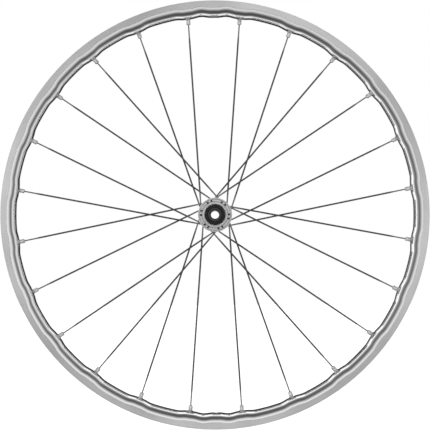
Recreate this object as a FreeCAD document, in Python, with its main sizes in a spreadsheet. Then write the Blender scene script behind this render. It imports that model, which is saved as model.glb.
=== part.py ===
"""Front disc-brake bicycle wheel without tyre, rotor or valve: millimetres, +Y along the axle, +Z up.

The origin is the wheel's centre, in the middle plane of the rim.  The disc side is -Y, the plain side +Y.
"""
import FreeCAD, Part
import math
import os

import Sketcher

Vector = FreeCAD.Vector

DIMENSIONS = [
    # rim: 622 mm bead seat, hooked flanges, flat sides above a rounded channel section
    ("rim_radius", 317.0), ("bead_radius", 311.0), ("rim_half_width", 12.5), ("flange_wall", 2.0),
    ("well_radius", 307.4), ("well_half_width", 5.8), ("shelf_half_width", 8.3), ("bed_wall", 1.35),
    ("rim_bottom", 291.35), ("bottom_curve", 7.0), ("flank_curve", 19.2), ("flank_end_angle", 84.0),
    ("shoulder_half_width", 12.2), ("lip_chamfer", 0.45), ("hook_reach", 0.35), ("hook_depth", 1.5),
    ("hook_slope", 0.8), ("seat_corner", 0.65),
    ("channel_wall", 1.3), ("hollow_end_angle", 76.0), ("hollow_corner", 0.85),
    ("milling_depth", 1.75), ("mill_radius", 39.0), ("mill_runout_angle", 26.0), ("mill_margin", 3.0),
    ("bay_half_angle", 3.9), ("joint_bay_half_angle", 0.5), ("joint_bay_offset", 4.0),
    ("valve_hole", 6.5), ("access_hole", 9.0),
    ("sleeve_half_angle", 4.2), ("sleeve_gap", 0.08), ("sleeve_wall", 1.6),
    # spokes: straight-pull, round at both ends, drawn flat between
    ("spoke_count", 24), ("disc_offset", 19.87), ("plain_offset", 16.65),
    ("disc_plane_out", 28.2), ("disc_plane_in", 24.4), ("plain_plane_in", 32.2), ("plain_plane_out", 36.0),
    ("head_diameter", 4.0), ("head_length", 2.2), ("seat_distance", 2.3), ("neck_diameter", 2.2),
    ("neck_length", 31.0), ("taper_length", 7.0), ("blade_width", 2.45), ("blade_thickness", 1.05),
    ("thread_diameter", 2.0), ("thread_length", 28.0), ("thread_end_gap", 0.9), ("head_cone", 0.75),
    # nipples and the pressed ferrules that they turn in
    ("nipple_diameter", 6.3), ("nipple_below", 7.8), ("nipple_bore", 2.1), ("nipple_head_diameter", 7.2),
    ("nipple_head_length", 2.4), ("nipple_tip_diameter", 4.2), ("nipple_tip_length", 1.0),
    ("nipple_groove_diameter", 5.5), ("nipple_groove_width", 0.4), ("nipple_head_chamfer", 0.5),
    ("ferrule_diameter", 8.0), ("ferrule_tip_diameter", 6.9), ("ferrule_below", 0.6), ("spot_depth", 1.45),
    ("ferrule_sleeve", 7.0), ("ferrule_bore", 6.4), ("ferrule_top", 5.4), ("ferrule_cone_top", 0.2),
    # hub shell stations along the axle, each a distance from the middle plane
    ("shell_disc_end", 43.0), ("lockring_bore", 15.3), ("lockring_floor", 33.5), ("rotor_shoulder", 33.0),
    ("rotor_shoulder_radius", 19.1), ("spline_radius", 17.3), ("spline_root", 16.45), ("spline_teeth", 40),
    ("spline_gap_root_angle", 2.0), ("spline_gap_tip_angle", 2.7),
    ("disc_flange_radius", 25.3), ("disc_flange_face", 31.5), ("disc_flange_back", 20.8),
    ("face_groove_radius", 22.5), ("barrel_radius", 15.0), ("shell_bore", 11.9),
    ("plain_flange_radius", 21.9), ("plain_flange_face", 39.2), ("plain_flange_back", 28.8),
    ("plain_boss_radius", 17.4), ("shell_plain_end", 41.4), ("cap_mouth_radius", 14.8),
    ("spoke_hole", 2.6), ("spoke_hole_length", 30.0), ("head_bore", 4.3), ("head_clearance", 0.6),
    ("pocket_width", 2.9), ("pocket_reach", 2.2), ("cut_margin", 1.0),
    # axle, end caps and bearings (15 x 26 x 7)
    ("axle_bore", 6.05), ("bearing_bore", 7.5), ("bearing_radius", 13.0), ("bearing_half", 3.5),
    ("disc_bearing", 29.8), ("plain_bearing", 35.0), ("axle_shoulder", 8.9), ("axle_waist", 8.1),
    ("axle_end", 44.5), ("dropout_face", 50.0), ("cap_nose_radius", 9.9), ("cap_skirt_disc", 14.9),
    ("cap_skirt_plain", 14.4), ("cap_hub_radius", 9.0), ("ring_radius", 8.0), ("ring_section", 0.5),
    ("inner_land", 9.2), ("outer_land", 11.3), ("seal_recess", 11.9), ("seal_lip", 9.35),
    ("seal_inside", 2.8), ("seal_outside", 3.35), ("recess_floor", 2.7),
    ("ball_circle", 10.25), ("ball_radius", 1.5875), ("race_radius", 1.65), ("ball_count", 12),
    ("cage_inner", 9.8), ("cage_outer", 10.7), ("cage_half_width", 2.1), ("cage_open_side", 1.1),
    ("cage_ball_gap", 0.06),
]

doc = FreeCAD.newDocument("bicycle_front_wheel")
dims = doc.addObject("Spreadsheet::Sheet", "dims")
for row, (alias, value) in enumerate(DIMENSIONS, start=1):
    dims.set("A%d" % row, alias)
    dims.set("B%d" % row, str(value))
    dims.setAlias("B%d" % row, alias)
doc.recompute()

pieces = []


def size(alias):
    return float(dims.get(alias))


def amount(text):
    """Value of a sum such as '- disc_bearing + 3.5', with sheet names and plain numbers."""
    total, sign = 0.0, 1.0
    for word in text.split():
        if word in "+-":
            sign = -1.0 if word == "-" else 1.0
            continue
        total += sign * (float(word) if word[0].isdigit() else size(word))
        sign = 1.0
    return total


def formula(text):
    """The same sum as an expression that reads the sheet."""
    words = [word if word in "+-" or word[0].isdigit() else "dims." + word for word in text.split()]
    return " ".join(words)


def keep(piece, label):
    piece.Label = label
    pieces.append(piece)
    return piece


def origin_plane(body, role):
    return [item for item in body.Origin.OriginFeatures if item.Role == role][0]


def turned_body(name, outline):
    """A body turned about the axle from an outline of (radius, station) sums."""
    body = doc.addObject("PartDesign::Body", name)
    sketch = body.newObject("Sketcher::SketchObject", name + "_section")
    sketch.AttachmentSupport = [(origin_plane(body, "XY_Plane"), "")]
    sketch.MapMode = "FlatFace"
    corners = [Vector(amount(radius), amount(station), 0) for radius, station in outline]
    for start, end in zip(corners, corners[1:] + corners[:1]):
        sketch.addGeometry(Part.LineSegment(start, end), False)
    count = len(corners)
    for line in range(count):
        sketch.addConstraint(Sketcher.Constraint("Coincident", line, 2, (line + 1) % count, 1))
    for line, (radius, station) in enumerate(outline):
        for kind, text in (("DistanceX", radius), ("DistanceY", station)):
            number = sketch.addConstraint(Sketcher.Constraint(kind, -1, 1, line, 1, amount(text)))
            sketch.setExpression("Constraints[%d]" % number, formula(text))
    turning = body.newObject("PartDesign::Revolution", name + "_turning")
    turning.Profile = sketch
    turning.ReferenceAxis = (sketch, ["V_Axis"])
    turning.Angle = 360.0
    body.Tip = turning
    return body


def shape_feature(name, shape):
    feature = doc.addObject("Part::Feature", name)
    feature.Shape = shape
    return feature


def compass(radius, angle, station=0.0):
    """Point at a radius and an angle in degrees, clockwise from the top as seen from the disc side."""
    turn = math.radians(angle)
    return Vector(radius * math.sin(turn), station, radius * math.cos(turn))


def along(distance, direction):
    return Vector(direction).multiply(distance)


def cylinder(radius, start, direction, length):
    return Part.makeCylinder(radius, length, start, direction)


def turned_solid(outline, start, direction):
    """Solid of revolution about a line: outline of (distance along, radius) pairs from that line's start."""
    wire = Part.makePolygon([Vector(radius, 0, distance) for distance, radius in outline + outline[:1]])
    solid = Part.Face(wire).revolve(Vector(0, 0, 0), Vector(0, 0, 1), 360)
    solid.Placement = FreeCAD.Placement(start, FreeCAD.Rotation(Vector(0, 0, 1), direction))
    return solid


# ---------------------------------------------------------------- spoke lines
class SpokeLine:
    """Straight line of one spoke, from its head seat in the flange to its nipple."""

    def __init__(self, number):
        count = int(size("spoke_count"))
        self.angle = 360.0 / count * (number + 0.5)
        self.disc_side = number % 2 == 1
        self.leading = number % 4 in (0, 1)
        offset = size("disc_offset") if self.disc_side else size("plain_offset")
        if self.disc_side:
            self.station = -size("disc_plane_out") if self.leading else -size("disc_plane_in")
        else:
            self.station = size("plain_plane_out") if self.leading else size("plain_plane_in")
        self.rim_point = compass(size("rim_bottom"), self.angle)
        lean = math.degrees(math.asin(offset / size("rim_bottom")))
        foot_angle = self.angle + (90.0 - lean) * (1 if self.leading else -1)
        self.foot = compass(offset, foot_angle, self.station)
        self.direction = (self.rim_point - self.foot).normalize()
        self.length = (self.rim_point - self.foot).Length
        flat = Vector(self.direction.x, 0, self.direction.z).normalize()
        self.flat_direction = flat
        side = Vector(0, 1, 0).cross(self.direction).normalize()
        self.rotation = FreeCAD.Rotation(side, self.direction.cross(side), self.direction)
        self.seat = self.foot + along(size("seat_distance"), self.direction)


spoke_lines = [SpokeLine(number) for number in range(int(size("spoke_count")))]


# ---------------------------------------------------------------- rim
def channel_points(bottom, bottom_curve, flank_curve, end_angle, base_angle):
    """Half outline of the rounded channel: bottom, middle and end points of its two arcs."""
    def bottom_point(turn):
        return (bottom + bottom_curve * (1 - math.cos(turn)), bottom_curve * math.sin(turn))

    reach = size("flank_curve") - size("bottom_curve")
    centre = (bottom + bottom_curve + reach * math.cos(base_angle), -reach * math.sin(base_angle))

    def flank_point(turn):
        return (centre[0] - flank_curve * math.cos(turn), centre[1] + flank_curve * math.sin(turn))

    middle = (base_angle + end_angle) / 2
    return [bottom_point(0), bottom_point(base_angle / 2), bottom_point(base_angle),
            flank_point(middle), flank_point(end_angle)]


def section_point(pair, side=1):
    return Vector(pair[0], side * pair[1], 0)


def channel_edges(points):
    """The rounded channel from its -Y end to its +Y end, as four arcs."""
    low, low_middle, join, flank_middle, end = points
    return [
        Part.Arc(section_point(end, -1), section_point(flank_middle, -1), section_point(join, -1)).toShape(),
        Part.Arc(section_point(join, -1), section_point(low_middle, -1), section_point(low)).toShape(),
        Part.Arc(section_point(low), section_point(low_middle), section_point(join)).toShape(),
        Part.Arc(section_point(join), section_point(flank_middle), section_point(end)).toShape(),
    ]


def closed_section(arcs, upper_half):
    """Face from the channel arcs and the half outline above them, mirrored to both sides."""
    right = [section_point(pair) for pair in upper_half]
    left = [section_point(pair, -1) for pair in reversed(upper_half)]
    start = arcs[-1].valueAt(arcs[-1].LastParameter)
    finish = arcs[0].valueAt(arcs[0].FirstParameter)
    corners = [start] + right + left + [finish]
    lines = [Part.makeLine(a, b) for a, b in zip(corners, corners[1:]) if (a - b).Length > 1e-6]
    return Part.Face(Part.Wire(arcs + lines))


def rim_sections():
    flank_end = math.radians(size("flank_end_angle"))
    reach = size("flank_curve") - size("bottom_curve")
    base_sine = (size("flank_curve") * math.sin(flank_end) - size("shoulder_half_width")) / reach
    base_angle = math.asin(base_sine)
    land = channel_points(size("rim_bottom"), size("bottom_curve"), size("flank_curve"), flank_end, base_angle)
    shoulder_rise = size("rim_half_width") - size("shoulder_half_width")
    shoulder = (land[-1][0] + shoulder_rise, size("rim_half_width"))
    top, half = size("rim_radius"), size("rim_half_width")
    bead, inner = size("bead_radius"), half - size("flange_wall")
    lip, corner = size("lip_chamfer"), size("seat_corner")
    hook = inner - size("hook_reach")
    outer_half = [
        shoulder, (top - lip, half), (top - lip / 4, half - lip / 3), (top, half - lip),
        (top, hook + lip), (top - lip, hook), (top - size("hook_depth"), hook),
        (top - size("hook_depth") - size("hook_slope"), inner), (bead + corner, inner),
        (bead, inner - corner), (bead, size("shelf_half_width")),
        (size("well_radius"), size("well_half_width")),
    ]
    outer = closed_section(channel_edges(land), outer_half)

    wall_in = size("channel_wall")
    hollow = channel_points(size("rim_bottom") + size("milling_depth") + wall_in,
                            size("bottom_curve") - wall_in, size("flank_curve") - wall_in,
                            math.radians(size("hollow_end_angle")), base_angle)
    bed = size("bed_wall")
    side = hollow[-1][1]
    cavity_half = [
        (bead - bed - size("hollow_corner"), side), (bead - bed, side - size("hollow_corner")),
        (bead - bed, size("shelf_half_width") + bed / 3),
        (size("well_radius") - bed, size("well_half_width") - bed / 3),
    ]
    cavity = closed_section(channel_edges(hollow), cavity_half)

    milled = [(radius + size("milling_depth"), width) for radius, width in land]
    margin = size("mill_margin")
    mill_half = [(milled[-1][0] + margin, milled[-1][1] + margin),
                 (size("rim_bottom") - 2 * margin, milled[-1][1] + margin)]
    arcs = channel_edges(milled)
    right = [section_point(pair) for pair in mill_half]
    left = [section_point(pair, -1) for pair in reversed(mill_half)]
    corners = [section_point(milled[-1])] + right + left + [section_point(milled[-1], -1)]
    lines = [Part.makeLine(a, b) for a, b in zip(corners, corners[1:])]
    mill = Part.Face(Part.Wire(arcs + lines))
    return outer, cavity, mill


def turned(face, centre, start_angle, sweep):
    """Face drawn at +X, turned about an axis along Y through centre, clockwise from start_angle."""
    placed = face.copy()
    placed.rotate(Vector(0, 0, 0), Vector(0, 1, 0), start_angle - 90.0)
    return placed.revolve(centre, Vector(0, 1, 0), sweep)


def milled_bay(mill, middle, half_angle):
    """One milled bay: a floor about the wheel's centre and the mill's own radius at both ends."""
    floor = turned(mill, Vector(0, 0, 0), middle - half_angle, 2 * half_angle)
    mill_centre = size("rim_bottom") + size("milling_depth") - size("mill_radius")
    runout = size("mill_runout_angle")
    leading = turned(mill, compass(mill_centre, middle + half_angle), middle + half_angle, runout)
    trailing = turned(mill, compass(mill_centre, middle - half_angle), middle - half_angle, -runout)
    return floor.fuse([leading, trailing])


def make_rim():
    outer, cavity, mill = rim_sections()
    ring = turned(outer, Vector(0, 0, 0), 0.0, 360.0)
    hollow = turned(cavity, Vector(0, 0, 0), 0.0, 360.0)
    pitch = 360.0 / size("spoke_count")
    tools = [hollow]
    small, away = size("joint_bay_half_angle"), size("joint_bay_offset")
    plain_bay = milled_bay(mill, 0.0, size("bay_half_angle"))
    short_bay = milled_bay(mill, 0.0, small)
    for number in range(int(size("spoke_count"))):
        middle = number * pitch
        if middle in (0.0, 180.0):
            places = [(short_bay, middle - away), (short_bay, middle + away)]
        else:
            places = [(plain_bay, middle)]
        for bay, angle in places:
            tool = bay.copy()
            tool.rotate(Vector(0, 0, 0), Vector(0, 1, 0), angle)
            tools.append(tool)
    below = 2 * size("mill_margin")
    wall_span = size("ferrule_top") + size("channel_wall")
    bed_span = size("bead_radius") - size("well_radius") + size("bed_wall")
    for line in spoke_lines:
        start = line.rim_point - along(below, line.direction)
        tools.append(cylinder(size("ferrule_diameter") / 2, start, line.direction, below + size("spot_depth")))
        tools.append(cylinder(size("ferrule_sleeve") / 2, line.rim_point, line.direction, wall_span))
        outward = compass(1.0, line.angle)
        start = compass(size("well_radius") - bed_span, line.angle)
        tools.append(cylinder(size("access_hole") / 2, start, outward, 2 * bed_span))
    start = compass(size("rim_bottom") - below, 180.0)
    depth = size("rim_radius") - size("rim_bottom") + below
    tools.append(cylinder(size("valve_hole") / 2, start, compass(1.0, 180.0), depth))
    return ring.cut(tools)


rim = keep(shape_feature("rim", make_rim()), "rim")


def make_joint_sleeve():
    """Short extrusion driven into the hollow where the two ends of the rim meet, at the top."""
    outline = rim_sections()[1].OuterWire
    outer = Part.Face(outline.makeOffset2D(-size("sleeve_gap")))
    inner = Part.Face(outline.makeOffset2D(-size("sleeve_gap") - size("sleeve_wall")))
    half = size("sleeve_half_angle")
    return turned(outer.cut(inner), Vector(0, 0, 0), -half, 2 * half)


rim_joint_sleeve = keep(shape_feature("rim_joint_sleeve", make_joint_sleeve()), "rim_joint_sleeve")


# ---------------------------------------------------------------- nipples and ferrules
def make_nipple(line):
    radius = size("nipple_diameter") / 2
    bore = size("nipple_bore") / 2
    foot = -size("nipple_below")
    seat = size("ferrule_top")
    head = size("nipple_head_diameter") / 2
    top = seat + size("nipple_head_length")
    chamfer = size("nipple_head_chamfer")
    groove = size("nipple_groove_diameter") / 2
    groove_top = -size("ferrule_below")
    groove_foot = groove_top - size("nipple_groove_width")
    outline = [
        (foot, bore), (foot, size("nipple_tip_diameter") / 2), (foot + size("nipple_tip_length"), radius),
        (groove_foot - 0.1, radius), (groove_foot, groove), (groove_top - 0.1, groove),
        (groove_top, radius), (seat, radius), (seat, head), (top - chamfer, head),
        (top, head - chamfer), (top, bore),
    ]
    return turned_solid(outline, line.rim_point, line.direction)


def make_ferrule(line):
    bore = size("ferrule_bore") / 2
    wide = size("ferrule_diameter") / 2
    sleeve = size("ferrule_sleeve") / 2
    outline = [
        (-size("ferrule_below"), bore), (-size("ferrule_below"), size("ferrule_tip_diameter") / 2),
        (size("ferrule_cone_top"), wide), (size("spot_depth"), wide), (size("spot_depth"), sleeve),
        (size("ferrule_top"), sleeve), (size("ferrule_top"), bore),
    ]
    return turned_solid(outline, line.rim_point, line.direction)


nipples = keep(shape_feature("nipples", Part.makeCompound([make_nipple(line) for line in spoke_lines])),
               "nipples")
ferrule_set = Part.makeCompound([make_ferrule(line) for line in spoke_lines])
ferrules = keep(shape_feature("nipple_ferrules", ferrule_set), "nipple_ferrules")


# ---------------------------------------------------------------- spokes
def make_spoke(length):
    """Straight-pull spoke along +Z from its head seat: head, round neck, flat blade, round threaded end."""
    neck, blade_w = size("neck_diameter") / 2, size("blade_width") / 2
    blade_t, thread = size("blade_thickness") / 2, size("thread_diameter") / 2
    stations = [
        (0.0, neck, neck), (size("neck_length") - size("seat_distance") - size("taper_length"), neck, neck),
        (size("neck_length") - size("seat_distance"), blade_w, blade_t),
        (length - size("thread_length") - size("taper_length"), blade_w, blade_t),
        (length - size("thread_length"), thread, thread), (length, thread, thread),
    ]
    rings = []
    for height, half_width, half_thick in stations:
        if abs(half_width - half_thick) < 1e-9:
            curve = Part.Circle(Vector(0, 0, height), Vector(0, 0, 1), half_width)
        else:
            curve = Part.Ellipse(Vector(half_width, 0, height), Vector(0, half_thick, height),
                                 Vector(0, 0, height))
        rings.append(Part.Wire(curve.toShape()))
    shaft = Part.makeLoft(rings, True, True)
    head_radius, head_length, cone = size("head_diameter") / 2, size("head_length"), size("head_cone")
    head = turned_solid([(0.0, 0.0), (0.0, head_radius), (cone - head_length, head_radius),
                         (-head_length, head_radius - cone), (-head_length, 0.0)],
                        Vector(0, 0, 0), Vector(0, 0, 1))
    return head.fuse(shaft)


for number, line in enumerate(spoke_lines):
    side = "disc_side" if line.disc_side else "plain_side"
    name = "spoke_%s_%02d" % (side, number // 2 + 1)
    reach = (line.rim_point - line.seat).Length + size("ferrule_top") - size("thread_end_gap")
    spoke = shape_feature(name, make_spoke(reach))
    spoke.Placement = FreeCAD.Placement(line.seat, line.rotation)
    keep(spoke, name)


# ---------------------------------------------------------------- hub shell
shell_body = turned_body("hub_turning", [
    ("lockring_bore", "- shell_disc_end + 0.5"), ("lockring_bore + 0.5", "- shell_disc_end"),
    ("spline_radius - 0.7", "- shell_disc_end"), ("spline_radius", "- shell_disc_end + 0.7"),
    ("spline_radius", "- rotor_shoulder"), ("rotor_shoulder_radius - 0.2", "- rotor_shoulder"),
    ("rotor_shoulder_radius", "- rotor_shoulder + 0.2"), ("rotor_shoulder_radius", "- disc_flange_face"),
    ("face_groove_radius - 0.35", "- disc_flange_face"),
    ("face_groove_radius - 0.15", "- disc_flange_face + 0.4"),
    ("face_groove_radius + 0.15", "- disc_flange_face + 0.4"),
    ("face_groove_radius + 0.35", "- disc_flange_face"),
    ("disc_flange_radius - 1.3", "- disc_flange_face"), ("disc_flange_radius", "- disc_flange_face + 1.0"),
    ("disc_flange_radius", "- disc_flange_back - 0.6"), ("disc_flange_radius - 0.6", "- disc_flange_back"),
    ("barrel_radius + 3.4", "- disc_flange_back"), ("barrel_radius + 1.6", "- disc_flange_back + 1.6"),
    ("barrel_radius + 0.4", "- disc_flange_back + 5.6"), ("barrel_radius", "- disc_flange_back + 9.6"),
    ("barrel_radius", "plain_flange_back - 8.0"), ("barrel_radius + 0.4", "plain_flange_back - 4.0"),
    ("barrel_radius + 1.4", "plain_flange_back - 1.0"), ("barrel_radius + 2.4", "plain_flange_back"),
    ("plain_flange_radius - 0.6", "plain_flange_back"), ("plain_flange_radius", "plain_flange_back + 0.6"),
    ("plain_flange_radius", "plain_flange_face - 0.9"), ("plain_flange_radius - 0.9", "plain_flange_face"),
    ("plain_boss_radius", "plain_flange_face"), ("plain_boss_radius", "shell_plain_end - 0.6"),
    ("plain_boss_radius - 0.6", "shell_plain_end"), ("cap_mouth_radius + 0.3", "shell_plain_end"),
    ("cap_mouth_radius", "shell_plain_end - 0.3"), ("cap_mouth_radius", "plain_bearing + 3.6"),
    ("bearing_radius", "plain_bearing + 3.6"), ("bearing_radius", "plain_bearing - bearing_half"),
    ("shell_bore", "plain_bearing - bearing_half"), ("shell_bore", "- disc_bearing + bearing_half"),
    ("bearing_radius", "- disc_bearing + bearing_half"), ("bearing_radius", "- lockring_floor"),
    ("lockring_bore", "- lockring_floor"),
])
doc.recompute()


def spline_gaps():
    """The gaps between the rotor splines, cut from the boss end to the rotor shoulder."""
    gaps = []
    count = int(size("spline_teeth"))
    margin = size("cut_margin")
    root, tip = size("spline_root"), size("spline_radius") + margin / 2
    root_angle, tip_angle = size("spline_gap_root_angle"), size("spline_gap_tip_angle")
    start = Vector(0, -size("shell_disc_end") - margin, 0)
    run = Vector(0, size("shell_disc_end") + margin - size("rotor_shoulder"), 0)
    for number in range(count):
        middle = 360.0 / count * number
        corners = [compass(root, middle - root_angle), compass(tip, middle - tip_angle),
                   compass(tip, middle + tip_angle), compass(root, middle + root_angle)]
        wire = Part.makePolygon([corner + start for corner in corners + corners[:1]])
        gaps.append(Part.Face(wire).extrude(run))
    return gaps


def spoke_drilling(line):
    """Spoke hole, head seat and the pocket milled from the flange face down to the head."""
    outward, flat = line.direction, line.flat_direction
    hole = cylinder(size("spoke_hole") / 2, line.seat - along(0.5, outward), outward,
                    size("spoke_hole_length"))
    seat_run = size("head_length") + size("head_clearance")
    head_seat = cylinder(size("head_bore") / 2, line.seat - along(seat_run, outward), outward, seat_run)
    face = -size("disc_flange_face") if line.disc_side else size("plain_flange_face")
    across = Vector(0, 1, 0).cross(flat)
    width, half_length = size("pocket_width"), size("pocket_reach")
    corner = line.seat - along(width - 0.1, flat) - along(half_length, across)
    corner.y = line.station
    outline = [corner, corner + along(width, flat)]
    outline.append(outline[1] + along(2 * half_length, across))
    outline.append(outline[0] + along(2 * half_length, across))
    depth = abs(face - line.station) + size("cut_margin")
    wire = Part.makePolygon(outline + outline[:1])
    pocket = Part.Face(wire).extrude(Vector(0, math.copysign(depth, face), 0))
    return [hole, head_seat, pocket]


drillings = spline_gaps()
for line in spoke_lines:
    drillings.extend(spoke_drilling(line))
cutters = shape_feature("hub_cutters", Part.makeCompound(drillings))
hub_shell = doc.addObject("Part::Cut", "hub_shell")
hub_shell.Base = shell_body
hub_shell.Tool = cutters
keep(hub_shell, "hub_shell")


# ---------------------------------------------------------------- axle and end caps
axle_tube = keep(turned_body("axle_tube", [
    ("axle_bore", "- axle_end"), ("bearing_bore - 0.3", "- axle_end"), ("bearing_bore", "- axle_end + 0.3"),
    ("bearing_bore", "- disc_bearing + bearing_half"), ("axle_shoulder", "- disc_bearing + bearing_half"),
    ("axle_shoulder", "- disc_bearing + 6.5"), ("axle_waist", "- disc_bearing + 8.0"),
    ("axle_waist", "plain_bearing - 8.0"), ("axle_shoulder", "plain_bearing - 6.5"),
    ("axle_shoulder", "plain_bearing - bearing_half"), ("bearing_bore", "plain_bearing - bearing_half"),
    ("bearing_bore", "axle_end - 0.3"), ("bearing_bore - 0.3", "axle_end"), ("axle_bore", "axle_end"),
]), "axle_tube")


def mirrored(text):
    """The same station on the disc side, where stations are negative."""
    words = text.split()
    if words[0] != "-":
        words = ["+"] + words
    flipped = ["-" if word == "+" else "+" if word == "-" else word for word in words]
    if flipped[0] == "+":
        flipped = flipped[1:]
    return " ".join(flipped)


def end_cap(name, bearing, skirt, disc_side):
    outline = [
        ("bearing_bore", bearing + " + bearing_half"), ("cap_hub_radius", bearing + " + bearing_half"),
        ("cap_hub_radius", bearing + " + 4.5"), (skirt, bearing + " + 4.5"), (skirt, bearing + " + 5.5"),
        (skirt + " - 0.3", bearing + " + 5.8"), ("cap_nose_radius + 2.7", bearing + " + 5.8"),
        ("cap_nose_radius + 2.5", bearing + " + 6.3"), ("cap_nose_radius + 2.0", bearing + " + 6.3"),
        ("cap_nose_radius + 1.8", bearing + " + 5.8"), ("cap_nose_radius + 0.7", bearing + " + 5.8"),
        ("cap_nose_radius + 0.4", bearing + " + 6.4"), ("cap_nose_radius", "dropout_face - 4.0"),
        ("cap_nose_radius", "dropout_face - 0.7"), ("cap_nose_radius - 0.7", "dropout_face"),
        ("axle_bore + 0.5", "dropout_face"), ("axle_bore", "dropout_face - 0.5"), ("axle_bore", "axle_end"),
        ("bearing_bore", "axle_end"), ("bearing_bore", "dropout_face - 7.3"),
        ("ring_radius + 0.5", "dropout_face - 7.3"), ("ring_radius + 0.5", "dropout_face - 8.7"),
        ("bearing_bore", "dropout_face - 8.7"),
    ]
    if disc_side:
        outline = [(radius, mirrored(station)) for radius, station in outline]
    return keep(turned_body(name, outline), name)


end_cap("end_cap_disc_side", "disc_bearing", "cap_skirt_disc", True)
end_cap("end_cap_plain_side", "plain_bearing", "cap_skirt_plain", False)


def sealing_ring(name, side):
    ring = doc.addObject("Part::Torus", name)
    ring.setExpression("Radius1", "dims.ring_radius")
    ring.setExpression("Radius2", "dims.ring_section")
    station = side * (size("dropout_face") - 8.0)
    ring.Placement = FreeCAD.Placement(Vector(0, station, 0), FreeCAD.Rotation(Vector(1, 0, 0), 90))
    return keep(ring, name)


sealing_ring("axle_ring_disc_side", -1)
sealing_ring("axle_ring_plain_side", 1)


# ---------------------------------------------------------------- bearings
def raceway(station):
    """The ring-shaped groove that the balls run in."""
    return Part.makeTorus(size("ball_circle"), size("race_radius"), Vector(0, station, 0), Vector(0, 1, 0))


def race(name, outline, station):
    blank = turned_body(name + "_blank", outline)
    groove = shape_feature(name + "_groove", raceway(station))
    finished = doc.addObject("Part::Cut", name)
    finished.Base = blank
    finished.Tool = groove
    return keep(finished, name)


def ball_places(station):
    count = int(size("ball_count"))
    return [compass(size("ball_circle"), 360.0 / count * (number + 0.5), station) for number in range(count)]


def bearing(side_name, bearing_name, sign):
    """One cartridge bearing: two races, two seals, a ball set and its cage."""
    station = sign * size(bearing_name)
    middle = bearing_name if sign > 0 else "- " + bearing_name
    race("bearing_inner_race_" + side_name, [
        ("bearing_bore", middle + " - bearing_half"), ("inner_land", middle + " - bearing_half"),
        ("inner_land", middle + " + bearing_half"), ("bearing_bore", middle + " + bearing_half")], station)
    race("bearing_outer_race_" + side_name, [
        ("bearing_radius", middle + " - bearing_half"), ("seal_recess", middle + " - bearing_half"),
        ("seal_recess", middle + " - recess_floor"), ("outer_land", middle + " - recess_floor"),
        ("outer_land", middle + " + recess_floor"), ("seal_recess", middle + " + recess_floor"),
        ("seal_recess", middle + " + bearing_half"), ("bearing_radius", middle + " + bearing_half")], station)
    for face, low, high in (("a", " - seal_outside", " - seal_inside"),
                            ("b", " + seal_inside", " + seal_outside")):
        keep(turned_body("bearing_seal_%s_%s" % (face, side_name), [
            ("seal_lip", middle + low), ("seal_recess", middle + low),
            ("seal_recess", middle + high), ("seal_lip", middle + high)]),
            "bearing_seal_%s_%s" % (face, side_name))
    balls = [Part.makeSphere(size("ball_radius"), place) for place in ball_places(station)]
    keep(shape_feature("bearing_balls_" + side_name, Part.makeCompound(balls)), "bearing_balls_" + side_name)
    ring = turned_body("cage_ring_" + side_name, [
        ("cage_inner", middle + " - cage_half_width"), ("cage_outer", middle + " - cage_half_width"),
        ("cage_outer", middle + " + cage_open_side"), ("cage_inner", middle + " + cage_open_side")])
    pockets = [Part.makeSphere(size("ball_radius") + size("cage_ball_gap"), place) for place in ball_places(station)]
    windows = shape_feature("cage_windows_" + side_name, Part.makeCompound(pockets))
    cage = doc.addObject("Part::Cut", "bearing_cage_" + side_name)
    cage.Base = ring
    cage.Tool = windows
    keep(cage, "bearing_cage_" + side_name)


bearing("disc_side", "disc_bearing", -1)
bearing("plain_side", "plain_bearing", 1)

# ---------------------------------------------------------------- checks and files
doc.recompute()
for item in doc.Objects:
    if "Invalid" in item.State or "Error" in item.State:
        raise RuntimeError("failed: %s %s" % (item.Name, item.State))
os.makedirs("parts", exist_ok=True)
for piece in pieces:
    shape = piece.Shape
    if shape.isNull() or not shape.isValid() or not shape.Solids:
        raise RuntimeError("bad shape: " + piece.Label)
for piece in pieces:
    piece.Shape.exportStep("parts/%s.step" % piece.Label)
print("pieces written:", len(pieces))
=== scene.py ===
"""Front disc-brake bicycle wheel: rim, 24 straight-pull spokes, hub, axle and bearings, in metres."""
import math

import bmesh
import bpy
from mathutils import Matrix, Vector


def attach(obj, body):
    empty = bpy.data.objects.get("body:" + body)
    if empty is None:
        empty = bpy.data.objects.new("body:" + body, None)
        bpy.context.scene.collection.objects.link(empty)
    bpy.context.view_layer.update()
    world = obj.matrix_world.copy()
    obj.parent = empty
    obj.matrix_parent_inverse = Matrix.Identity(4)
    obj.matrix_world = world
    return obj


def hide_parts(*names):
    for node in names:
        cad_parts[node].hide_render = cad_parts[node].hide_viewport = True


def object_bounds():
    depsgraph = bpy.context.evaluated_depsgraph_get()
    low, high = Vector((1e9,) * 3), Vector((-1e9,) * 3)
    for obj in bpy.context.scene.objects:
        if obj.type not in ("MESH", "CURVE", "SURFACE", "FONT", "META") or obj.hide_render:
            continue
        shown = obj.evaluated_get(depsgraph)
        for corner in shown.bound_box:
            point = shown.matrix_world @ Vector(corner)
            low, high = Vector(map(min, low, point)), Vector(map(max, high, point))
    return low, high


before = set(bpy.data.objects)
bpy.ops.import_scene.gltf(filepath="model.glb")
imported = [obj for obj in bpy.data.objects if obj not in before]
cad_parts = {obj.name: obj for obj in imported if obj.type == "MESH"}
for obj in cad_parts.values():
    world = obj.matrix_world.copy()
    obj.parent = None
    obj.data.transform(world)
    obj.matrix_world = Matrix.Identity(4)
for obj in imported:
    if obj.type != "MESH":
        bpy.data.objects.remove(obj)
cad_low, cad_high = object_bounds()
MM = 0.001


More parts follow.
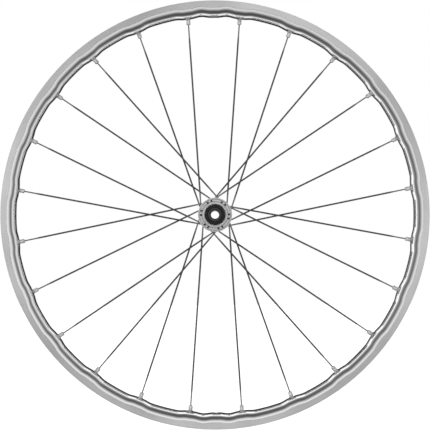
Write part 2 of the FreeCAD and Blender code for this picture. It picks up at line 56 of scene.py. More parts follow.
# ---------------------------------------------------------------- rim
# One aluminium hoop: a rolled hollow extrusion with hooked flanges and a deep tyre channel.  Its sides
# are turned flat and brushed.  The channel below them is polished, and milled thinner between the
# nipples, so the lower edge runs in waves.  Each nipple has a drilled seat and an access hole above it.
RIM_RADIUS = 316.9 * MM
RIM_HALF = 12.5 * MM
BED_RADIUS = 311.0 * MM
RIM_BOTTOM = 291.35 * MM
BOTTOM_CURVE = 7.0 * MM
FLANK_CURVE = 19.2 * MM
SHOULDER_HALF = 12.2 * MM
FLANK_END, HOLLOW_END = math.radians(84.0), math.radians(76.0)
WALL = 1.3 * MM
MILLING = 1.75 * MM
LAND_HALF, RUNOUT_END = 1.0, 3.7    # degrees from a nipple where the milling starts, and where it is full
SPOKES = 24
PITCH = 360.0 / SPOKES
COLUMNS = 768
EXTRA_LANDS = (0.0, 180.0)      # the hoop's joint at the top and the valve hole at the bottom
BRUSHED, POLISHED, BED = 0, 1, 2


def compass(radius, angle, station=0.0):
    """Point at a radius and an angle in degrees, clockwise from the top as seen from the disc side."""
    turn = math.radians(angle)
    return Vector((radius * math.sin(turn), station, radius * math.cos(turn)))


def smooth_step(low, high, value):
    part = min(1.0, max(0.0, (value - low) / (high - low)))
    return part * part * (3.0 - 2.0 * part)


def milled_depth(angle):
    """How far the milling has taken the channel outward here: nothing at each nipple, all of it between."""
    angle %= 360.0
    off_nipple = abs((angle % PITCH) - PITCH / 2)
    off_extra = min(min(abs(angle - land), 360.0 - abs(angle - land)) for land in EXTRA_LANDS)
    return MILLING * smooth_step(LAND_HALF, RUNOUT_END, min(off_nipple, off_extra))


def arc(centre, radius, start, end, steps):
    """Points (distance from the axle, half width) on an arc; angles in radians from straight inward."""
    turns = [start + (end - start) * step / steps for step in range(steps + 1)]
    return [(centre[0] - radius * math.cos(turn), centre[1] + radius * math.sin(turn)) for turn in turns]


def channel(bottom, bottom_curve, flank_curve, end, steps):
    """Half outline of the rounded channel, from the middle of its bottom to the end of its flank."""
    reach = FLANK_CURVE - BOTTOM_CURVE
    base = math.asin((FLANK_CURVE * math.sin(FLANK_END) - SHOULDER_HALF) / reach)
    low_centre = (bottom + bottom_curve, 0.0)
    flank_centre = (low_centre[0] + reach * math.cos(base), -reach * math.sin(base))
    return (arc(low_centre, bottom_curve, 0.0, base, steps // 2)
            + arc(flank_centre, flank_curve, base, end, steps)[1:])


CREASE = math.radians(32.0)     # faces that meet at more than this keep a sharp edge


def solid_mesh(name, points, faces, materials, zones=None):
    """Closed mesh with outward faces, smooth except where two faces meet sharply."""
    mesh = bpy.data.meshes.new(name)
    mesh.from_pydata([tuple(point) for point in points], [], faces)
    for material in materials:
        mesh.materials.append(material)
    if zones:
        mesh.polygons.foreach_set("material_index", zones)
    piece = bpy.data.objects.new(name, mesh)
    bpy.context.scene.collection.objects.link(piece)
    soften(mesh)
    return piece


def soften(mesh):
    work = bmesh.new()
    work.from_mesh(mesh)
    bmesh.ops.recalc_face_normals(work, faces=work.faces)
    for face in work.faces:
        face.smooth = True
    for edge in work.edges:
        edge.smooth = edge.is_manifold and edge.calc_face_angle(0.0) < CREASE
    work.to_mesh(mesh)
    work.free()


def hoop(name, section_at, columns, materials, zones=None):
    """Ring swept around the axle: section_at(angle) gives the closed outline (radius, station) there."""
    points, faces, marks = [], [], []
    for column in range(columns):
        angle = 360.0 * column / columns
        points.extend(compass(radius, angle, station) for radius, station in section_at(angle))
    rows = len(points) // columns
    for column in range(columns):
        here, ahead = column * rows, (column + 1) % columns * rows
        for row in range(rows):
            above = (row + 1) % rows
            faces.append((here + row, here + above, ahead + above, ahead + row))
            marks.append(zones[row] if zones else 0)
    return solid_mesh(name, points, faces, materials, marks)


CHANNEL = channel(RIM_BOTTOM, BOTTOM_CURVE, FLANK_CURVE, FLANK_END, 16)
LIP, HOOK = 0.45 * MM, 10.15 * MM
SIDE_FOOT = RIM_BOTTOM + 15.3 * MM
SIDE = [(SIDE_FOOT, RIM_HALF), (SIDE_FOOT + 0.5 * MM, RIM_HALF)]    # foot of the flat, moved by the milling
FLAT = [(309.6 * MM, RIM_HALF), (313.0 * MM, RIM_HALF)]
LIP_TOP = (arc((RIM_RADIUS - LIP, RIM_HALF - LIP), LIP, math.radians(90), math.radians(180), 4)
           + arc((RIM_RADIUS - LIP, HOOK + LIP), LIP, math.radians(180), math.radians(270), 4)
           + [(315.5 * MM, HOOK), (314.9 * MM, HOOK + 0.12 * MM), (314.3 * MM, 10.45 * MM),
              (311.9 * MM, 10.5 * MM)]
           + arc((BED_RADIUS + 0.8 * MM, 9.7 * MM), 0.8 * MM, math.radians(90), 0.0, 4))
WELL = [(BED_RADIUS, 8.5 * MM), (310.7 * MM, 8.1 * MM), (307.7 * MM, 6.1 * MM), (307.4 * MM, 5.6 * MM)]
LIP_ROWS = 9                                     # faces of LIP_TOP that round the lip, brushed like the flat
BRUSHED_ROWS = len(SIDE) + len(FLAT) + LIP_ROWS
HALF_ZONES = ([POLISHED] * len(CHANNEL) + [BRUSHED] * BRUSHED_ROWS
              + [BED] * (len(SIDE + FLAT + LIP_TOP + WELL) - BRUSHED_ROWS - 1))


def rim_section(angle):
    depth = milled_depth(angle)
    half = [(radius + depth, station) for radius, station in CHANNEL + SIDE] + FLAT + LIP_TOP + WELL
    return half + [(radius, -station) for radius, station in reversed(half[1:])]


def hollow_section(angle):
    """The closed hollow between the channel wall and the tyre bed, the same all the way round."""
    inside = channel(RIM_BOTTOM + MILLING + WALL, BOTTOM_CURVE - WALL, FLANK_CURVE - WALL,
                     HOLLOW_END, 8)
    side = inside[-1][1]
    half = inside + [(308.8 * MM, side), (309.65 * MM, side - 0.85 * MM), (309.65 * MM, 8.75 * MM),
                     (306.05 * MM, 5.35 * MM)]
    return half + [(radius, -station) for radius, station in reversed(half[1:])]


def turned_ring(outline, start, direction, steps):
    """Points and faces of a ring turned about a line; outline is (distance along, radius) pairs."""
    direction = direction.normalized()
    across = direction.orthogonal().normalized()
    upward = direction.cross(across)
    points, faces = [], []
    for step in range(steps):
        turn = 2 * math.pi * step / steps
        outward = across * math.cos(turn) + upward * math.sin(turn)
        points.extend(start + direction * distance + outward * radius for distance, radius in outline)
    rows = len(outline)
    for step in range(steps):
        here, ahead = step * rows, (step + 1) % steps * rows
        faces.extend((here + row, here + (row + 1) % rows, ahead + (row + 1) % rows, ahead + row)
                     for row in range(rows))
    return points, faces


def round_bar(radius, start, direction, length, steps=32):
    """Points and faces of a plain round cutter."""
    points, faces = turned_ring([(0.0, radius), (length, radius)], start, direction, steps)
    sides = [face for number, face in enumerate(faces) if number % 2 == 0]
    sides.append(tuple(range(0, 2 * steps, 2)))
    sides.append(tuple(range(1, 2 * steps, 2)))
    return points, sides


def gather(parts):
    """Several (points, faces) sets as one."""
    points, faces = [], []
    for some_points, some_faces in parts:
        faces.extend(tuple(index + len(points) for index in face) for face in some_faces)
        points.extend(some_points)
    return points, faces


def cut(piece, tool):
    """Takes the tool's volume out of the piece and removes the tool."""
    step = piece.modifiers.new("cut", "BOOLEAN")
    step.operation, step.solver, step.object = "DIFFERENCE", "MANIFOLD", tool
    bpy.context.view_layer.update()
    shaped = bpy.data.meshes.new_from_object(piece.evaluated_get(bpy.context.evaluated_depsgraph_get()))
    piece.modifiers.clear()
    old, piece.data = piece.data, shaped
    bpy.data.meshes.remove(old)
    bpy.data.objects.remove(tool)


DISC_OFFSET, PLAIN_OFFSET = 19.87 * MM, 16.65 * MM          # how far a spoke's line passes from the axle
DISC_LEADING, DISC_TRAILING = -28.2 * MM, -24.4 * MM        # stations of the four spoke planes
PLAIN_LEADING, PLAIN_TRAILING = 36.0 * MM, 32.2 * MM
HEAD_SEAT = 2.3                                             # millimetres further along, where the head rests


class SpokeLine:
    """Straight line of one spoke from its seat in the hub to its nipple, as laced: pairs of leading and
    trailing spokes, odd numbers on the disc side."""

    def __init__(self, number):
        self.number = number
        self.angle = PITCH * (number + 0.5)
        self.disc_side = number % 2 == 1
        leading = number % 4 in (0, 1)
        if self.disc_side:
            offset, station = DISC_OFFSET, DISC_LEADING if leading else DISC_TRAILING
        else:
            offset, station = PLAIN_OFFSET, PLAIN_LEADING if leading else PLAIN_TRAILING
        self.rim_point = compass(RIM_BOTTOM, self.angle)
        lean = math.degrees(math.asin(offset / RIM_BOTTOM))
        foot = compass(offset, self.angle + (90.0 - lean) * (1 if leading else -1), station)
        self.direction = (self.rim_point - foot).normalized()
        self.seat = foot + self.direction * HEAD_SEAT * MM


spoke_lines = [SpokeLine(number) for number in range(SPOKES)]


class Finish:
    """One piece's finish: a surface shader and the nodes that vary it."""

    def __init__(self, name, colour, roughness, metallic=1.0, **constants):
        self.material = bpy.data.materials.new(name)
        self.material.use_nodes = True
        self.tree = self.material.node_tree
        self.shader = self.tree.nodes["Principled BSDF"]
        self.colour, self.roughness = colour, roughness
        self.shader.inputs["Metallic"].default_value = metallic
        for socket, value in constants.items():
            self.shader.inputs[socket.replace("_", " ")].default_value = value
        place = self.add("ShaderNodeTexCoord")
        self.place = place.outputs["Object"]

    def add(self, kind, inputs=None, **settings):
        node = self.tree.nodes.new(kind)
        for setting, value in settings.items():
            setattr(node, setting, value)
        for socket, value in (inputs or {}).items():
            if isinstance(value, bpy.types.NodeSocket):
                self.tree.links.new(value, node.inputs[socket])
            else:
                node.inputs[socket].default_value = value
        return node

    def math(self, operation, first, second=0.0, third=0.0):
        return self.add("ShaderNodeMath", {0: first, 1: second, 2: third}, operation=operation).outputs[0]

    def ramp(self, value, low, high, out_low, out_high):
        """Maps value from low..high to out_low..out_high, held at the ends."""
        inputs = {"Value": value, "From Min": low, "From Max": high, "To Min": out_low, "To Max": out_high}
        return self.add("ShaderNodeMapRange", inputs).outputs["Result"]

    def noise(self, where, scale, detail=3.0):
        inputs = {"Vector": where, "Scale": scale, "Detail": detail}
        return self.add("ShaderNodeTexNoise", inputs).outputs[0]

    def around(self):
        """Distance from the axle in metres, turn about it in radians, and the station along it."""
        parts = self.add("ShaderNodeSeparateXYZ", {0: self.place})
        x, y, z = parts.outputs
        out = self.math("SQRT", self.math("ADD", self.math("MULTIPLY", x, x), self.math("MULTIPLY", z, z)))
        return out, self.math("ARCTAN2", x, z), y

    def turned_lines(self, fineness, stretch=6.0):
        """Fine rings left by the lathe: noise that is tight across and long around."""
        out, turn, station = self.around()
        where = self.add("ShaderNodeCombineXYZ", {
            0: self.math("MULTIPLY", out, fineness), 1: self.math("MULTIPLY", turn, stretch),
            2: self.math("MULTIPLY", station, fineness)})
        return self.noise(where.outputs[0], 1.0, 2.0)

    def shade(self, tone, rough, bump=None, height=0.0):
        """Sets the colour from a brightness factor, the roughness from an added amount, and the bump."""
        multiply = self.add("ShaderNodeMix", data_type="RGBA", blend_type="MULTIPLY")
        multiply.inputs["Factor"].default_value = 1.0
        multiply.inputs[6].default_value = (*self.colour, 1.0)
        self.tree.links.new(self.add("ShaderNodeCombineColor", {0: tone, 1: tone, 2: tone}).outputs[0],
                            multiply.inputs[7])
        self.tree.links.new(multiply.outputs[2], self.shader.inputs["Base Color"])
        total = self.math("ADD", rough, self.roughness)
        self.tree.links.new(total, self.shader.inputs["Roughness"])
        if bump is not None:
            node = self.add("ShaderNodeBump", {"Height": bump, "Distance": height, "Strength": 1.0})
            self.tree.links.new(node.outputs[0], self.shader.inputs["Normal"])
        return self.material


# painted reflection lobes on the brushed side: waves of brighter and darker tone around the hoop that stand
# in for the highlights of circular brushing; how many around, where the first is brightest, and how strong
PAINTED_REFLECTION_LOBES = ((1, 0.0, 0.03), (4, 10.0, 0.105), (5, 30.0, 0.045), (3, 35.0, 0.04))


def brushed_side():
    """Turned flat rim side: circular brushing, painted reflection lobes as waves of tone around the hoop,
    rubbed patches.
    """
    finish = Finish("rim_brushed_side", (0.86, 0.86, 0.865), 0.42, Anisotropic=0.85)
    finish.shader.inputs["Anisotropic Rotation"].default_value = 0.25
    lines = finish.turned_lines(5200.0)
    broad = finish.turned_lines(900.0, 3.0)
    patches = finish.noise(finish.place, 14.0)
    tone = finish.math("ADD", finish.ramp(lines, 0.3, 0.7, 0.90, 1.0),
                       finish.ramp(broad, 0.3, 0.7, -0.05, 0.05))
    turn = finish.around()[1]
    # painted reflection lobes: each wave makes the tone brighter and darker around the hoop
    for waves, first, height in PAINTED_REFLECTION_LOBES:
        from_first = finish.math("SUBTRACT", turn, math.radians(first))
        swing = finish.math("COSINE", finish.math("MULTIPLY", from_first, float(waves)))
        tone = finish.math("ADD", tone, finish.math("MULTIPLY", swing, height))
    rough = finish.ramp(patches, 0.35, 0.65, -0.03, 0.04)
    tangent = finish.add("ShaderNodeTangent", direction_type="RADIAL", axis="Y")
    finish.tree.links.new(tangent.outputs[0], finish.shader.inputs["Tangent"])
    return finish.shade(tone, rough, lines, 0.004 * MM)


def polished_channel():
    """Polished and clear-anodised channel: faint mill marks and a little haze."""
    finish = Finish("rim_polished_channel", (0.84, 0.84, 0.845), 0.07)
    out, turn, station = finish.around()
    marks = finish.add("ShaderNodeCombineXYZ", {
        0: finish.math("MULTIPLY", turn, 900.0), 1: finish.math("MULTIPLY", station, 90.0),
        2: finish.math("MULTIPLY", out, 60.0)}).outputs[0]
    milling = finish.noise(marks, 1.0, 2.0)
    haze = finish.noise(finish.place, 60.0)
    rough = finish.ramp(haze, 0.3, 0.7, 0.01, 0.06)
    tone = finish.ramp(haze, 0.3, 0.7, 0.97, 1.0)
    return finish.shade(tone, rough, milling, 0.0015 * MM)


def tyre_bed():
    """Satin-anodised tyre bed, drawn along the extrusion, rubbed by tyre levers here and there."""
    finish = Finish("rim_tyre_bed", (0.74, 0.74, 0.75), 0.34)
    lines = finish.turned_lines(2600.0)
    rubs = finish.noise(finish.place, 35.0, 6.0)
    return finish.shade(finish.ramp(lines, 0.3, 0.7, 0.92, 1.0), finish.ramp(rubs, 0.4, 0.7, 0.0, 0.12),
                        lines, 0.003 * MM)


bed_satin = tyre_bed()
rim = hoop("rim_hoop", rim_section, COLUMNS, (brushed_side(), polished_channel(), bed_satin),
           HALF_ZONES + [BED] + HALF_ZONES[::-1])
cut(rim, hoop("hollow", hollow_section, COLUMNS // 4, [bed_satin]))
SEAT_HOLE, SEAT_LENGTH = 4.02 * MM, 7.45 * MM                           # for the ferrule's collar
SEAT_BELOW = 6                                                          # millimetres, to start clear
SLEEVE_HOLE, SLEEVE_LENGTH = 3.52 * MM, 7 * MM                          # for its narrower sleeve
ACCESS_HOLE, ACCESS_START, ACCESS_LENGTH = 4.5 * MM, 302 * MM, 9 * MM   # in the tyre bed, over the nipple
VALVE_HOLE, VALVE_START, VALVE_LENGTH, VALVE_ANGLE = 3.25 * MM, 286 * MM, 28 * MM, 180
seats, sleeves, access = [], [], []
for line in spoke_lines:
    seat_start = line.rim_point - line.direction * SEAT_BELOW * MM
    seats.append(round_bar(SEAT_HOLE, seat_start, line.direction, SEAT_LENGTH))
    sleeves.append(round_bar(SLEEVE_HOLE, line.rim_point, line.direction, SLEEVE_LENGTH))
    access.append(round_bar(ACCESS_HOLE, compass(ACCESS_START, line.angle), compass(1, line.angle),
                            ACCESS_LENGTH, 48))
valve = round_bar(VALVE_HOLE, compass(VALVE_START, VALVE_ANGLE), compass(1, VALVE_ANGLE), VALVE_LENGTH, 48)
for name, bars in (("seats", seats), ("sleeves", sleeves), ("openings", access + [valve])):
    cut(rim, solid_mesh(name, *gather(bars), [bed_satin]))
soften(rim.data)

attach(rim, "wheel")
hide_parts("rim")


# ---------------------------------------------------------------- rim joint sleeve
# A short plain extrusion driven into both ends of the hoop where they meet, at the top.  Raw aluminium.
def use_finish(node, material):
    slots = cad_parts[node].data.materials
    for slot in range(len(slots)):
        slots[slot] = material


def raw_extrusion():
    finish = Finish("raw_extrusion", (0.70, 0.70, 0.71), 0.45)
    drawn = finish.turned_lines(1800.0, 4.0)
    return finish.shade(finish.ramp(drawn, 0.3, 0.7, 0.88, 1.0), finish.ramp(drawn, 0.3, 0.7, -0.05, 0.08),
                        drawn, 0.004 * MM)


use_finish("rim_joint_sleeve", raw_extrusion())


# ---------------------------------------------------------------- nipple ferrules
# Turned steel collars pressed into the rim at each spoke, with a short cone that shows around the nipple.
FERRULE = [(distance * MM, radius * MM) for distance, radius in (
    (-0.6, 3.2), (-0.6, 3.35), (-0.5, 3.45), (0.1, 3.93), (0.2, 4.0), (1.4, 4.0), (1.45, 3.95), (1.45, 3.5),
    (5.3, 3.5), (5.4, 3.4), (5.4, 3.2))]


def ferrule_steel():
    finish = Finish("ferrule_steel", (0.50, 0.50, 0.51), 0.26)
    grain = finish.noise(finish.place, 900.0)
    return finish.shade(finish.ramp(grain, 0.3, 0.7, 0.85, 1.0), finish.ramp(grain, 0.3, 0.7, -0.05, 0.1),
                        grain, 0.004 * MM)


collars = [turned_ring(FERRULE, line.rim_point, line.direction, 40) for line in spoke_lines]
ferrules = solid_mesh("ferrule_set", *gather(collars), [ferrule_steel()])
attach(ferrules, "wheel")
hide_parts("nipple_ferrules")


# ---------------------------------------------------------------- nipples
# Aluminium nipples turned from bar: a round body with shallow wrench flutes, a groove below the ferrule
# and a wider head inside the rim that takes the spoke's pull.  Sizes here are in millimetres.
NIPPLE_FOOT, NIPPLE_SEAT, NIPPLE_TOP = -7.8, 5.4, 7.8
NIPPLE_RADIUS, NIPPLE_HEAD, NIPPLE_BORE, NIPPLE_GROOVE = 3.15, 3.6, 1.05, 2.35
FLUTES, FLUTE_DEPTH = 8, 0.36


def nipple_outline():
    """(distance along, radius, how much the flutes cut) triples in millimetres, as a closed ring."""
    foot, seat, top = NIPPLE_FOOT, NIPPLE_SEAT, NIPPLE_TOP
    body, head, bore = NIPPLE_RADIUS, NIPPLE_HEAD, NIPPLE_BORE
    return [(foot + 0.25, bore), (foot, bore + 0.2), (foot, 2.0), (foot + 0.1, 2.2), (foot + 0.6, 2.85),
            (foot + 0.9, 3.08), (foot + 1.2, body), (foot + 1.8, body, 0.6), (foot + 2.4, body, 1.0),
            (foot + 4.9, body, 1.0), (foot + 5.4, body, 0.6), (foot + 5.9, body), (-1.45, body),
            (-1.4, NIPPLE_GROOVE + 0.1), (-1.3, NIPPLE_GROOVE), (-0.7, NIPPLE_GROOVE), (-0.6, body),
            (seat, body), (seat, head), (top - 0.6, head), (top - 0.25, head - 0.15), (top, head - 0.5),
            (top, bore)]


def nipple_ring(line, steps=48):
    outline = nipple_outline()
    points, faces = turned_ring([(place[0] * MM, 1.0) for place in outline], line.rim_point,
                                line.direction, steps)
    direction = line.direction.normalized()
    for index, point in enumerate(points):
        place = outline[index % len(outline)]
        turn = 2 * math.pi * (index // len(outline)) / steps
        share = place[2] if len(place) > 2 else 0.0
        cut_in = FLUTE_DEPTH * share * (0.5 + 0.5 * math.cos(FLUTES * turn)) ** 2
        centre = line.rim_point + direction * place[0] * MM
        points[index] = centre + (point - centre).normalized() * (place[1] - cut_in) * MM
    return points, faces


def nipple_alloy():
    finish = Finish("nipple_alloy", (0.84, 0.84, 0.85), 0.16)
    grain = finish.noise(finish.place, 700.0)
    wear = finish.noise(finish.place, 180.0, 5.0)
    return finish.shade(finish.ramp(wear, 0.3, 0.7, 0.88, 1.0), finish.ramp(grain, 0.3, 0.7, -0.04, 0.10),
                        grain, 0.004 * MM)


nipples = solid_mesh("nipple_set", *gather([nipple_ring(line) for line in spoke_lines]), [nipple_alloy()])
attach(nipples, "wheel")
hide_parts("nipples")


# ---------------------------------------------------------------- spokes
# Straight-pull stainless spokes: a forged head and round neck at the hub, a long flattened blade turned
# edge-on to the wind, and a round end for the thread, left plain.  The blades carry painted shade and the
# round ends a painted highlight, standing in for what their shapes reflect.
NECK, BLADE_HALF, BLADE_THICK, THREAD = 1.1 * MM, 1.225 * MM, 0.525 * MM, 1.0 * MM
NECK_END, BLADE_START = 21.7 * MM, 28.7 * MM
THREAD_START, TAPER = 28.0 * MM, 7.0 * MM
PAST_RIM, END_CHAMFER = 4.5 * MM, 0.3 * MM
HEAD = [(-2.2, 1.0), (-2.05, 1.35), (-1.75, 1.7), (-1.45, 1.95), (-1.2, 2.0), (-0.15, 2.0),
        (0.0, 1.85), (0.0, 1.25), (0.12, 1.1)]


def spoke_rings(length):
    """(distance, half width, half thickness) of each ring, from the head to the threaded end."""
    rings = [(distance * MM, radius * MM, radius * MM) for distance, radius in HEAD]
    rings.append((NECK_END, NECK, NECK))
    for step in range(1, 6):
        part = smooth_step(0.0, 1.0, step / 6)
        rings.append((NECK_END + TAPER * step / 6, NECK + (BLADE_HALF - NECK) * part,
                      NECK + (BLADE_THICK - NECK) * part))
    rings.append((BLADE_START, BLADE_HALF, BLADE_THICK))
    blade_end = length - THREAD_START - TAPER
    for step in range(1, 5):
        rings.append((BLADE_START + (blade_end - BLADE_START) * step / 4, BLADE_HALF, BLADE_THICK))
    for step in range(1, 7):
        part = smooth_step(0.0, 1.0, step / 6)
        rings.append((blade_end + TAPER * step / 6, BLADE_HALF + (THREAD - BLADE_HALF) * part,
                      BLADE_THICK + (THREAD - BLADE_THICK) * part))
    rings.append((length - END_CHAMFER, THREAD, THREAD))
    rings.append((length, THREAD - END_CHAMFER, THREAD - END_CHAMFER))
    return rings


def make_spoke(name, line, material, steps=20):
    length = (line.rim_point - line.seat).length + PAST_RIM
    wide = Vector((0.0, 1.0, 0.0)).cross(line.direction).normalized()
    thick = line.direction.cross(wide)
    points, faces = [], []
    rings = spoke_rings(length)
    for distance, half_wide, half_thick in rings:
        centre = line.seat + line.direction * distance
        for step in range(steps):
            turn = 2 * math.pi * step / steps
            points.append(centre + wide * half_wide * math.cos(turn) + thick * half_thick * math.sin(turn))
    for ring in range(len(rings) - 1):
        low, high = ring * steps, (ring + 1) * steps
        faces.extend((low + step, low + (step + 1) % steps, high + (step + 1) % steps, high + step)
                     for step in range(steps))
    faces.append(tuple(range(steps)))
    faces.append(tuple(range(len(points) - steps, len(points))))
    return solid_mesh(name, points, faces, [material])


def spoke_steel():
    """Drawn stainless: a painted highlight at the round ends, painted shade along the blade, which is
    lightly streaked.
    """
    finish = Finish("spoke_steel", (0.50, 0.50, 0.51), 0.24)
    out = finish.around()[0]
    # painted highlight and shade: tone 0.62 at the round ends and 0.24 along the blade, standing in for
    # their reflections
    ends = finish.math("MAXIMUM", finish.ramp(out, 0.036, 0.044, 1.0, 0.0),
                       finish.ramp(out, 0.258, 0.268, 0.0, 1.0))
    streaks = finish.noise(finish.place, 420.0)
    tone = finish.math("MULTIPLY", finish.ramp(ends, 0.0, 1.0, 0.24, 0.62),
                       finish.ramp(streaks, 0.3, 0.7, 0.85, 1.1))
    return finish.shade(tone, finish.ramp(streaks, 0.3, 0.7, -0.05, 0.08), streaks, 0.003 * MM)


drawn_steel = spoke_steel()
for line in spoke_lines:
    side = "disc_side" if line.disc_side else "plain_side"
    node = "spoke_%s_%02d" % (side, line.number // 2 + 1)
    spoke = make_spoke("blade_" + node, line, drawn_steel)
    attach(spoke, "wheel")
    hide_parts(node)


# ---------------------------------------------------------------- hub shell
# Forged and turned aluminium shell: splined rotor boss on the disc side, a large flange there and a
# smaller one opposite, milled pockets for the spoke heads.  Silver anodised over fine turning marks.
# The flange faces are flat but for one groove on the disc side: the finish alone makes their rings, in bump
# and as painted shade in the tone, and their dish, in bump.
RING_INNER, RING_FIRST, RING_PITCH, RING_DEPTH = 16.0 * MM, 18.9 * MM, 3.6 * MM, 0.16 * MM
DISH_SLOPE = 0.12


def hub_silver():
    """Anodised over lathe work, with concentric rings in bump and as painted shade in the tone, and a dish
    in bump.
    """
    finish = Finish("hub_silver", (0.86, 0.86, 0.87), 0.36, Anisotropic=0.4)
    lines = finish.turned_lines(3600.0)
    haze = finish.noise(finish.place, 120.0)
    out = finish.around()[0]
    beat = finish.math("MULTIPLY", finish.math("SUBTRACT", out, RING_FIRST), 2 * math.pi / RING_PITCH)
    rings = finish.math("COSINE", beat)
    tone = finish.math("MULTIPLY", finish.ramp(lines, 0.3, 0.7, 0.90, 1.0),
                       finish.ramp(haze, 0.3, 0.7, 0.95, 1.0))
    face = finish.ramp(out, RING_INNER, RING_INNER + 0.8 * MM, 0.0, 1.0)
    # painted shade: the tone darkens in rings on the flange faces, for turned grooves the mesh does not have
    painted_ring_shade = finish.ramp(finish.math("MULTIPLY", rings, face), 0.2, 1.0, 1.0, 0.66)
    tone = finish.math("MULTIPLY", tone, painted_ring_shade)
    dished = finish.math("MULTIPLY_ADD", out, DISH_SLOPE / RING_DEPTH, finish.math("MULTIPLY", rings, -0.5))
    height = finish.math("MULTIPLY_ADD", lines, 0.04, dished)
    return finish.shade(tone, finish.ramp(haze, 0.3, 0.7, -0.03, 0.08), height, RING_DEPTH)


use_finish("hub_shell", hub_silver())


# ---------------------------------------------------------------- axle
# A plain aluminium tube with a shoulder inside each bearing; a through axle slides in its bore.
def axle_grey():
    finish = Finish("axle_grey", (0.62, 0.62, 0.63), 0.30)
    lines = finish.turned_lines(2800.0)
    return finish.shade(finish.ramp(lines, 0.3, 0.7, 0.86, 1.0), finish.ramp(lines, 0.3, 0.7, -0.05, 0.08),
                        lines, 0.004 * MM)


use_finish("axle_tube", axle_grey())


# ---------------------------------------------------------------- end caps
# Black anodised caps that push onto the axle over rubber rings; a wide skirt covers each bearing.
CAP_PAINTED_HIGHLIGHTS = (8.9 * MM, 12.1 * MM)    # two painted highlights: paler rings in the tone of the flat face, standing in for glints off turned edges


def black_anodised():
    finish = Finish("black_anodised", (0.024, 0.024, 0.026), 0.34, metallic=0.35, Specular_IOR_Level=0.36)
    lines = finish.turned_lines(2400.0)
    rub = finish.noise(finish.place, 260.0, 6.0)
    tone = finish.math("MULTIPLY", finish.ramp(lines, 0.3, 0.7, 0.6, 1.3),
                       finish.ramp(rub, 0.62, 0.8, 1.0, 2.2))
    out = finish.around()[0]
    # painted highlights: the tone brightens in a ring at each of these radii
    for ring in CAP_PAINTED_HIGHLIGHTS:
        off_ring = finish.math("ABSOLUTE", finish.math("SUBTRACT", out, ring))
        tone = finish.math("MULTIPLY", tone, finish.ramp(off_ring, 0.3 * MM, 0.8 * MM, 2.4, 1.0))
    return finish.shade(tone, finish.ramp(lines, 0.3, 0.7, -0.06, 0.08), lines, 0.01 * MM)


black = black_anodised()
for node in ("end_cap_disc_side", "end_cap_plain_side"):
    use_finish(node, black)


# ---------------------------------------------------------------- axle rings and bearing seals
# Moulded nitrile rubber: small rings inside the caps that grip the axle, and contact seals on both faces
# of each bearing.
def black_rubber():
    finish = Finish("black_rubber", (0.022, 0.022, 0.022), 0.55, metallic=0.0)
    grain = finish.noise(finish.place, 1500.0)
    return finish.shade(finish.ramp(grain, 0.3, 0.7, 0.8, 1.25), finish.ramp(grain, 0.3, 0.7, -0.08, 0.08),
                        grain, 0.01 * MM)


rubber = black_rubber()
for side in ("disc_side", "plain_side"):
    for part in ("axle_ring_", "bearing_seal_a_", "bearing_seal_b_"):
        use_finish(part + side, rubber)


# ---------------------------------------------------------------- bearings
# Cartridge bearings: ground steel races and balls, with the balls spaced by a moulded nylon cage.
def ground_steel():
    finish = Finish("ground_steel", (0.58, 0.58, 0.60), 0.16)
    lines = finish.turned_lines(4200.0)
    return finish.shade(finish.ramp(lines, 0.3, 0.7, 0.9, 1.0), finish.ramp(lines, 0.3, 0.7, -0.03, 0.06),
                        lines, 0.002 * MM)


def moulded_nylon():
    finish = Finish("moulded_nylon", (0.55, 0.50, 0.40), 0.50, metallic=0.0, Subsurface_Weight=0.1)
    grain = finish.noise(finish.place, 1300.0)
    return finish.shade(finish.ramp(grain, 0.3, 0.7, 0.88, 1.05), finish.ramp(grain, 0.3, 0.7, -0.06, 0.06),
                        grain, 0.008 * MM)


steel, nylon = ground_steel(), moulded_nylon()
for side in ("disc_side", "plain_side"):
    for part in ("bearing_inner_race_", "bearing_outer_race_", "bearing_balls_"):
        use_finish(part + side, steel)
    use_finish("bearing_cage_" + side, nylon)


# ---------------------------------------------------------------- floor, light and camera
# A white floor that lights itself and stays out of reflections.  The light is a tent with its own run of
# brightness for the left, the right, and the top and bottom.  The camera sees plain white behind the
# wheel, through a long lens aimed at its centre from a little below.
FLOOR_SIZE, FLOOR_GLOW = 80.0, 0.8
CAMERA_DISTANCE = 8.0
CAMERA_DROP = 0.096
PICTURE_WIDTH = 0.6348          # across the frame at the rim's near face
CAMERA_ROLL = 0.33              # degrees

floor_mesh = bpy.data.meshes.new("floor")
edge = FLOOR_SIZE / 2
floor_mesh.from_pydata([(-edge, -edge, 0), (edge, -edge, 0), (edge, edge, 0), (-edge, edge, 0)], [],
                       [(0, 1, 2, 3)])
floor = bpy.data.objects.new("floor", floor_mesh)
floor.location.z = cad_low[2]
bpy.context.scene.collection.objects.link(floor)
white = Finish("white_floor", (0.92, 0.92, 0.92), 0.8, metallic=0.0)
grain = white.noise(white.place, 30.0)
floor_mesh.materials.append(white.shade(white.ramp(grain, 0.3, 0.7, 0.99, 1.0), 0.0))
white.shader.inputs["Emission Color"].default_value = (1.0, 1.0, 1.0, 1.0)
white.shader.inputs["Emission Strength"].default_value = FLOOR_GLOW
floor.visible_glossy = False

world = bpy.data.worlds.new("studio")
bpy.context.scene.world = world
world.use_nodes = True
nodes, links = world.node_tree.nodes, world.node_tree.links


def sky(kind, *inputs, **settings):
    node = nodes.new(kind)
    for setting, value in settings.items():
        setattr(node, setting, value)
    for socket, value in enumerate(inputs):
        if isinstance(value, bpy.types.NodeSocket):
            links.new(value, node.inputs[socket])
        else:
            node.inputs[socket].default_value = value
    return node.outputs[0]


def sums(operation, *inputs):
    return sky("ShaderNodeMath", *inputs, operation=operation)


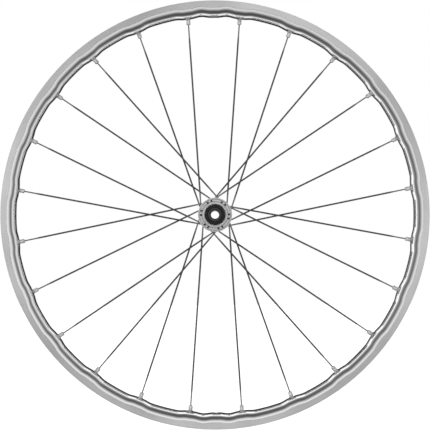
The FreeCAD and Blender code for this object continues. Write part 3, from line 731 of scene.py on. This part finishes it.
view = nodes.new("ShaderNodeTexCoord").outputs["Generated"]
split = nodes.new("ShaderNodeSeparateXYZ")
links.new(view, split.inputs[0])
right, back, up = split.outputs
off_axis = sums("MULTIPLY", sums("ARCCOSINE", sums("MULTIPLY", back, -1.0)), 180.0 / math.pi)
flat = sums("SQRT", sums("ADD", sums("MULTIPLY", right, right), sums("MULTIPLY", up, up)))
NOT_ZERO = 0.001                # keeps the next two divisions safe on the axle's own line
sideways = sums("DIVIDE", right, sums("MAXIMUM", flat, NOT_ZERO))
upward = sums("DIVIDE", up, sums("MAXIMUM", flat, NOT_ZERO))


def light_profile(angle, stops):
    """Brightness by angle in degrees, in straight runs between the stops."""
    ramp = nodes.new("ShaderNodeValToRGB")
    links.new(sums("DIVIDE", angle, 180.0), ramp.inputs[0])
    ramp.color_ramp.elements[0].position = stops[0][0] / 180.0
    ramp.color_ramp.elements[1].position = stops[-1][0] / 180.0
    for stop in stops[1:-1]:
        ramp.color_ramp.elements.new(stop[0] / 180.0)
    for element, stop in zip(ramp.color_ramp.elements, stops):
        element.color = (stop[1], stop[1], stop[1], 1.0)
    return ramp.outputs[0]


# (degrees away from the axle's disc end, brightness) along each run of the tent; BACK is shared
BACK = [(121, 0.02), (134, 0.06), (144, 0.60), (154, 0.88), (180, 0.82)]
LEFT_STOPS = [(0, 0.74), (13, 0.76), (20, 0.86), (27, 0.70), (32, 0.48), (40, 0.27), (48, 0.14), (56, 0.24),
              (64, 0.42), (71, 0.66), (78, 1.5), (86, 1.6), (94, 1.3), (100, 0.4), (106, 0.08)] + BACK
RIGHT_STOPS = [(0, 0.74), (13, 0.80), (20, 0.92), (28, 0.80), (33, 0.60), (41, 0.30), (48, 0.14), (55, 0.28),
               (61, 0.55), (68, 0.92), (75, 0.82), (82, 0.62), (90, 0.40), (96, 0.08), (103, 0.02)] + BACK
TOP_STOPS = [(0, 0.74), (13, 0.82), (20, 0.92), (26, 0.66), (31, 0.48), (42, 0.11), (50, 0.09), (59, 0.10),
             (65, 0.15), (72, 0.46), (78, 1.2), (86, 1.5), (92, 0.9), (97, 0.14), (103, 0.02)] + BACK
TOP_LIFT = 0.10                 # how much brighter the top is than the middle, and the bottom darker


def blend(first, second, share):
    """Mixes two colours by a share from 0 to 1."""
    node = nodes.new("ShaderNodeMix")
    node.data_type = "RGBA"
    for socket, value in ((0, share), (6, first), (7, second)):
        if isinstance(value, bpy.types.NodeSocket):
            links.new(value, node.inputs[socket])
        else:
            node.inputs[socket].default_value = value
    return node.outputs[2]


side_light = blend(light_profile(off_axis, LEFT_STOPS), light_profile(off_axis, RIGHT_STOPS),
                   sums("MULTIPLY_ADD", sideways, 0.5, 0.5))
ring = blend(light_profile(off_axis, TOP_STOPS), side_light, sums("MULTIPLY", sideways, sideways))
lift = sums("MULTIPLY_ADD", upward, TOP_LIFT, 1.0)
scaled = nodes.new("ShaderNodeVectorMath")
scaled.operation = "SCALE"
links.new(ring, scaled.inputs[0])
links.new(lift, scaled.inputs["Scale"])
camera_ray = nodes.new("ShaderNodeLightPath").outputs["Is Camera Ray"]
seen = blend(scaled.outputs[0], (1.0, 1.0, 1.0, 1.0), camera_ray)
links.new(seen, nodes["Background"].inputs[0])
nodes["Background"].inputs[1].default_value = 1.0

lens = bpy.data.cameras.new("camera")
camera = bpy.data.objects.new("camera", lens)
bpy.context.scene.collection.objects.link(camera)
camera.location = (0.0, -CAMERA_DISTANCE, -CAMERA_DROP)
aim = Vector((0.0, 0.0, 0.0)) - camera.location
camera.rotation_euler = aim.to_track_quat("-Z", "Y").to_euler()
camera.rotation_euler.rotate_axis("Z", math.radians(-CAMERA_ROLL))
lens.lens = lens.sensor_width * (CAMERA_DISTANCE - RIM_HALF) / PICTURE_WIDTH
lens.clip_end = 100.0
bpy.context.scene.camera = camera
bpy.context.scene.view_settings.view_transform = "Standard"
